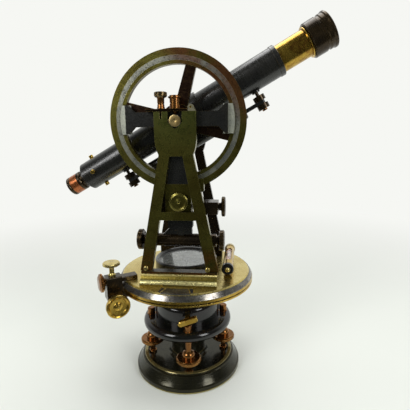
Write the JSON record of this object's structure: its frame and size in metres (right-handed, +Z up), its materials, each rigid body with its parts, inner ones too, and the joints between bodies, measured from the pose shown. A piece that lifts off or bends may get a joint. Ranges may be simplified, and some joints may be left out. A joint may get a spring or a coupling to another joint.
{
  "type": "theodolite",
  "caption": "Transit theodolite with a levelling head, graduated limb, compass, A-frame standards, spoked vertical circle and a draw-tube telescope with its own level.",
  "frame": {"origin": "centre of the foot's underside, on the vertical axis, at the mouth of the tripod thread", "axes": "+Z up along the vertical axis, trunnion along Y, objective over +X, clamp and circle side at -Y"},
  "size_m": [0.3017, 0.157, 0.3992],
  "materials": {
    "black_lacquer": "worn black lacquer over brass",
    "dark_bronze": "dark toned gunmetal, dull",
    "olive_brass": "old lacquered brass, olive and mottled",
    "pale_brass": "pale gold lacquered brass, satin",
    "bright_brass": "polished brass",
    "copper_brass": "reddish toned brass",
    "silver": "silvered scale, fine grained",
    "blued_steel": "blued steel",
    "lens_glass": "clear optical glass",
    "vial_glass": "glass vial with spirit"
  },
  "bodies": {
    "base": {"tripod_plate": "dark_bronze", "ball_retaining_ring": "dark_bronze", "foot_cups": "copper_brass", "upper_parallel_plate": "black_lacquer", "screw_bushes": "copper_brass", "lower_clamp_collar": "black_lacquer"},
    "lower_clamp_handle": {"lower_clamp_screw": "bright_brass"},
    "levelling_front": {"levelling_screw_front": "dark_bronze"},
    "levelling_right": {"levelling_screw_right": "dark_bronze"},
    "levelling_rear": {"levelling_screw_rear": "dark_bronze"},
    "levelling_left": {"levelling_screw_left": "dark_bronze"},
    "limb": {"limb_plate": "bright_brass", "limb_silver_ring": "silver", "outer_axis": "bright_brass"},
    "alidade": {"vernier_plate": "pale_brass", "inner_axis": "bright_brass", "plate_verniers": "silver", "compass_box": "black_lacquer", "compass_dial": "silver", "compass_glass": "lens_glass", "compass_bezel": "black_lacquer", "plate_level_tube": "bright_brass", "plate_level_vial": "vial_glass", "plate_level_caps": "black_lacquer", "front_standard": "olive_brass", "rear_standard": "dark_bronze", "cap_hinge_pins": "bright_brass", "vernier_frame": "black_lacquer", "circle_verniers": "silver", "circle_clamp_block": "olive_brass", "clip_tail": "black_lacquer", "clip_sleeve": "dark_bronze", "vertical_tangent_bracket": "dark_bronze", "side_clamp_arm": "dark_bronze"},
    "needle": {"compass_needle": "blued_steel"},
    "front_cap": {"front_bearing_cap": "copper_brass"},
    "rear_cap": {"rear_bearing_cap": "copper_brass"},
    "front_thumbscrew": {"front_cap_thumbscrew": "copper_brass"},
    "rear_thumbscrew": {"rear_cap_thumbscrew": "copper_brass"},
    "circle_clamp": {"circle_clamp_screw": "olive_brass"},
    "vertical_tangent": {"vertical_tangent_screw": "dark_bronze"},
    "clip_left": {"clip_screw_left": "dark_bronze"},
    "clip_right": {"clip_screw_right": "dark_bronze"},
    "side_radial": {"side_radial_screw": "copper_brass"},
    "side_thumb": {"side_thumbscrew": "bright_brass"},
    "side_tangent": {"side_tangent_screw": "bright_brass"},
    "telescope": {"trunnion_axle": "black_lacquer", "main_tube": "black_lacquer", "vertical_circle": "olive_brass", "circle_silver_band": "silver", "diaphragm": "bright_brass", "telescope_level_tube": "black_lacquer", "telescope_level_vial": "vial_glass", "telescope_level_posts": "dark_bronze"},
    "objective": {"draw_tube": "bright_brass", "objective_cell": "dark_bronze", "objective_lens": "lens_glass"},
    "pinion": {"focus_pinion": "bright_brass"},
    "eyepiece": {"eyepiece_tube": "dark_bronze", "eyepiece_lens": "lens_glass"}
  },
  "joints": [
    {"name": "lower_motion", "type": "hinge", "parent": "base", "child": "limb", "pos_m": [0, 0, 0.1172], "axis": [0, 0, 1], "continuous": true},
    {"name": "upper_motion", "type": "hinge", "parent": "limb", "child": "alidade", "pos_m": [0, 0, 0.12395], "axis": [0, 0, 1], "continuous": true},
    {"name": "telescope_tilt", "type": "hinge", "parent": "alidade", "child": "telescope", "pos_m": [0, 0, 0.29295], "axis": [0, -1, 0], "range_deg": [-89, 208]},
    {"name": "objective_slide", "type": "slide", "parent": "telescope", "child": "objective", "axis": [0.8712, 0, 0.4909], "range_m": [-0.025, 0.005]},
    {"name": "focus_pinion_turn", "type": "hinge", "parent": "telescope", "child": "pinion", "pos_m": [0.04395, 0, 0.34125], "axis": [0, -1, 0], "range_deg": [-360, 75]},
    {"name": "eyepiece_slide", "type": "slide", "parent": "telescope", "child": "eyepiece", "axis": [-0.8712, 0, -0.4909], "range_m": [-0.003, 0.003]},
    {"name": "lower_clamp_turn", "type": "hinge", "parent": "base", "child": "lower_clamp_handle", "pos_m": [0, 0, 0.0818], "axis": [0.1668, -0.986, 0], "range_deg": [-120, 120]},
    {"name": "levelling_turn_front", "type": "hinge", "parent": "base", "child": "levelling_front", "pos_m": [0.00734, -0.04338, 0.0315], "axis": [0, 0, 1], "range_deg": [-720, 720]},
    {"name": "levelling_turn_right", "type": "hinge", "parent": "base", "child": "levelling_right", "pos_m": [0.04338, 0.00734, 0.0315], "axis": [0, 0, 1], "range_deg": [-720, 720]},
    {"name": "levelling_turn_rear", "type": "hinge", "parent": "base", "child": "levelling_rear", "pos_m": [-0.00734, 0.04338, 0.0315], "axis": [0, 0, 1], "range_deg": [-720, 720]},
    {"name": "levelling_turn_left", "type": "hinge", "parent": "base", "child": "levelling_left", "pos_m": [-0.04338, -0.00734, 0.0315], "axis": [0, 0, 1], "range_deg": [-720, 720]},
    {"name": "needle_swing", "type": "hinge", "parent": "alidade", "child": "needle", "pos_m": [0, 0, 0.1309], "axis": [0, 0, 1], "continuous": true},
    {"name": "front_cap_lift", "type": "hinge", "parent": "alidade", "child": "front_cap", "pos_m": [0.0159, -0.04455, 0.30575], "axis": [0, 1, 0], "range_deg": [0, 105]},
    {"name": "rear_cap_lift", "type": "hinge", "parent": "alidade", "child": "rear_cap", "pos_m": [0.0159, 0.04455, 0.30575], "axis": [0, 1, 0], "range_deg": [0, 105]},
    {"name": "front_thumbscrew_turn", "type": "hinge", "parent": "front_cap", "child": "front_thumbscrew", "pos_m": [-0.0138, -0.04455, 0.315], "axis": [0, 0, 1], "range_deg": [-180, 180]},
    {"name": "rear_thumbscrew_turn", "type": "hinge", "parent": "rear_cap", "child": "rear_thumbscrew", "pos_m": [-0.0138, 0.04455, 0.315], "axis": [0, 0, 1], "range_deg": [-180, 180]},
    {"name": "circle_clamp_turn", "type": "hinge", "parent": "alidade", "child": "circle_clamp", "pos_m": [0.0015, -0.0468, 0.21215], "axis": [0, -1, 0], "range_deg": [-180, 180]},
    {"name": "vertical_tangent_turn", "type": "hinge", "parent": "alidade", "child": "vertical_tangent", "pos_m": [0.0465, -0.03, 0.20445], "axis": [1, 0, 0], "range_deg": [-720, 720]},
    {"name": "clip_turn_left", "type": "hinge", "parent": "alidade", "child": "clip_left", "pos_m": [-0.0445, -0.0295, 0.16695], "axis": [-1, 0, 0], "range_deg": [-360, 360]},
    {"name": "clip_turn_right", "type": "hinge", "parent": "alidade", "child": "clip_right", "pos_m": [0.0445, -0.0295, 0.16695], "axis": [1, 0, 0], "range_deg": [-360, 360]},
    {"name": "side_radial_turn", "type": "hinge", "parent": "alidade", "child": "side_radial", "pos_m": [-0.0829, -0.05592, 0.12495], "axis": [-0.829, -0.5592, 0], "range_deg": [-360, 360]},
    {"name": "side_thumb_turn", "type": "hinge", "parent": "alidade", "child": "side_thumb", "pos_m": [-0.07337, -0.04949, 0.145], "axis": [0, 0, 1], "range_deg": [-180, 180]},
    {"name": "side_tangent_turn", "type": "hinge", "parent": "alidade", "child": "side_tangent", "pos_m": [-0.07337, -0.04949, 0.10395], "axis": [0.5592, -0.829, 0], "range_deg": [-720, 720]}
  ],
  "couplings": [
    {"joint": "focus_pinion_turn", "follows": "objective_slide", "rad_per_m": 250}
  ]
}
